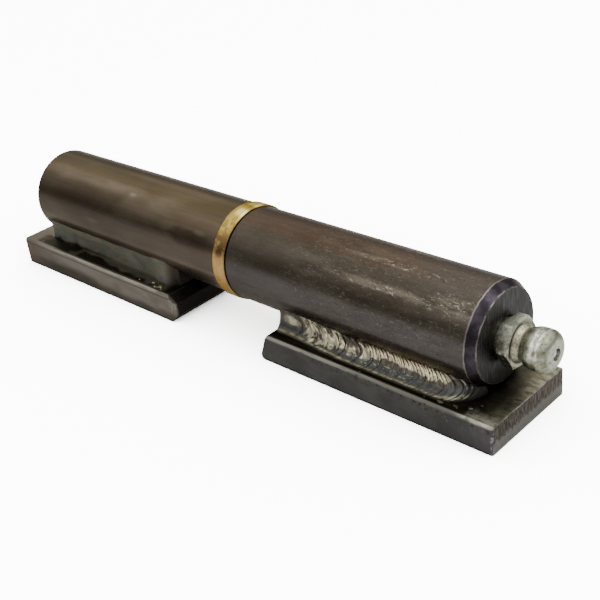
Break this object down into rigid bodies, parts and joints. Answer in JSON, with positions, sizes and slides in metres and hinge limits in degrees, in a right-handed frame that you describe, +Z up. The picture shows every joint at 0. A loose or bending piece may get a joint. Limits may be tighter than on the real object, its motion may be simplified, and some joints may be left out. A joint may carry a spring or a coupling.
{
  "type": "weld on barrel hinge",
  "caption": "Lift-off barrel hinge on a pin with a brass thrust washer, each barrel fillet welded to a flat steel plate, with a grease nipple in one end.",
  "frame": {"origin": "middle of the hinge's footprint, on the plane that both plates stand on", "axes": "+X along the pin towards the grease nipple, +Y towards the narrow rear margin of the plates, +Z up from the plates to the barrels"},
  "size_m": [0.1156, 0.0188, 0.021],
  "materials": {
    "bar_steel": "dark mill scale, oiled, lightly scratched",
    "plate_steel": "dark mill scale, with bare sheared and ground edges",
    "weld_steel": "as-welded fillet, bright tan ripples over a dark lower toe",
    "pin_steel": "ground bright steel, greased",
    "brass": "turned, tarnished brass",
    "zinc_steel": "dull zinc plate, specked",
    "spring_steel": "drawn wire",
    "ball_steel": "polished ball"
  },
  "bodies": {
    "left_half": {"left_barrel": "bar_steel", "hinge_pin": "pin_steel", "left_plate": "plate_steel", "left_weld_front": "weld_steel", "left_weld_rear": "weld_steel"},
    "washer": {"thrust_washer": "brass"},
    "right_half": {"right_barrel": "bar_steel", "right_plate": "plate_steel", "right_weld_front": "weld_steel", "right_weld_rear": "weld_steel", "grease_nipple": "zinc_steel", "nipple_spring": "spring_steel"},
    "check_ball": {"nipple_check_ball": "ball_steel"}
  },
  "joints": [
    {"name": "swing", "type": "hinge", "parent": "left_half", "child": "washer", "pos_m": [-0.0009, 0.00115, 0.0127], "axis": [1, 0, 0], "continuous": true},
    {"name": "lift_off", "type": "slide", "parent": "washer", "child": "right_half", "axis": [1, 0, 0], "range_m": [0, 0.0401]},
    {"name": "check_valve", "type": "slide", "parent": "right_half", "child": "check_ball", "axis": [-1, 0, 0], "range_m": [0, 0.0006], "stiffness_N_per_m": 300, "deforming": ["nipple_spring"]}
  ]
}
